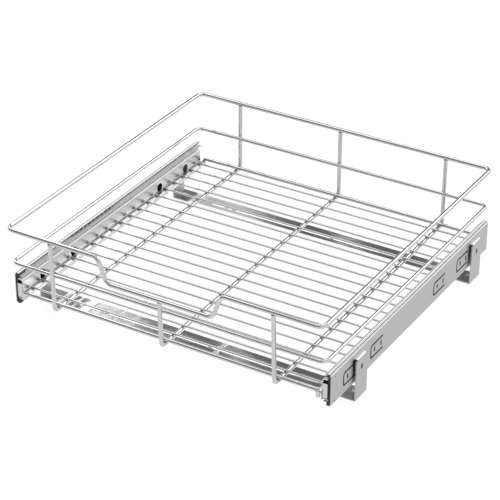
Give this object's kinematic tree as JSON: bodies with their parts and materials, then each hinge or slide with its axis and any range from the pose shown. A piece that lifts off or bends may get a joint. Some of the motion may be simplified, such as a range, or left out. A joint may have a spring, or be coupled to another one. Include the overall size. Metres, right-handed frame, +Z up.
{
  "type": "pull out cabinet basket",
  "caption": "Wire basket with a dipped front rim on full-extension ball-bearing slides, carried by a screw-down frame of cross rails and brackets.",
  "frame": {"origin": "on the cabinet floor, under the middle of the rim; the underside of the cross rails is z = 0", "axes": "+X to the right, +Y towards the back of the cabinet, +Z up; the basket pulls out along -Y"},
  "size_m": [0.4892, 0.4812, 0.1509],
  "materials": {
    "wire_plate": "bright plated wire",
    "slide_steel": "bright zinc plated rolled steel",
    "channel_steel": "bright zinc plated folded steel",
    "bracket_steel": "zinc plated pressed steel",
    "plated_rail": "bright plated strip",
    "rivet_steel": "plain steel",
    "cage_steel": "plain steel strip",
    "ball_steel": "polished",
    "black_plastic": "moulded"
  },
  "bodies": {
    "cabinet_frame": {"left_outer_rail": "slide_steel", "right_outer_rail": "slide_steel", "front_cross_rail": "plated_rail", "rear_cross_rail": "plated_rail", "front_left_bracket": "bracket_steel", "front_right_bracket": "bracket_steel", "rear_left_bracket": "bracket_steel", "rear_right_bracket": "bracket_steel", "frame_rivets": "rivet_steel"},
    "left_middle": {"left_middle_rail": "slide_steel", "left_bumper": "black_plastic"},
    "right_middle": {"right_middle_rail": "slide_steel", "right_bumper": "black_plastic"},
    "left_outer_bearing": {"left_outer_cage": "cage_steel", "left_outer_balls": "ball_steel"},
    "right_outer_bearing": {"right_outer_cage": "cage_steel", "right_outer_balls": "ball_steel"},
    "left_inner_bearing": {"left_inner_cage": "cage_steel", "left_inner_balls": "ball_steel"},
    "right_inner_bearing": {"right_inner_cage": "cage_steel", "right_inner_balls": "ball_steel"},
    "basket": {"left_drawer_rail": "slide_steel", "right_drawer_rail": "slide_steel", "left_support_channel": "channel_steel", "right_support_channel": "channel_steel", "cross_wires": "wire_plate", "front_bottom_wire": "wire_plate", "rear_bottom_wire": "wire_plate", "left_long_wire": "wire_plate", "centre_long_wire": "wire_plate", "right_long_wire": "wire_plate", "middle_ring_wire": "wire_plate", "rim_wire": "wire_plate"}
  },
  "joints": [
    {"name": "basket_slide", "type": "slide", "parent": "cabinet_frame", "child": "basket", "axis": [0, -1, 0], "range_m": [0, 0.44]},
    {"name": "left_middle_slide", "type": "slide", "parent": "cabinet_frame", "child": "left_middle", "axis": [0, -1, 0], "range_m": [0, 0.22]},
    {"name": "left_outer_bearing_slide", "type": "slide", "parent": "cabinet_frame", "child": "left_outer_bearing", "axis": [0, -1, 0], "range_m": [0, 0.11]},
    {"name": "left_inner_bearing_slide", "type": "slide", "parent": "cabinet_frame", "child": "left_inner_bearing", "axis": [0, -1, 0], "range_m": [0, 0.33]},
    {"name": "right_middle_slide", "type": "slide", "parent": "cabinet_frame", "child": "right_middle", "axis": [0, -1, 0], "range_m": [0, 0.22]},
    {"name": "right_outer_bearing_slide", "type": "slide", "parent": "cabinet_frame", "child": "right_outer_bearing", "axis": [0, -1, 0], "range_m": [0, 0.11]},
    {"name": "right_inner_bearing_slide", "type": "slide", "parent": "cabinet_frame", "child": "right_inner_bearing", "axis": [0, -1, 0], "range_m": [0, 0.33]}
  ],
  "couplings": [
    {"joint": "left_middle_slide", "follows": "basket_slide", "ratio": 0.5},
    {"joint": "left_outer_bearing_slide", "follows": "basket_slide", "ratio": 0.25},
    {"joint": "left_inner_bearing_slide", "follows": "basket_slide", "ratio": 0.75},
    {"joint": "right_middle_slide", "follows": "basket_slide", "ratio": 0.5},
    {"joint": "right_outer_bearing_slide", "follows": "basket_slide", "ratio": 0.25},
    {"joint": "right_inner_bearing_slide", "follows": "basket_slide", "ratio": 0.75}
  ]
}
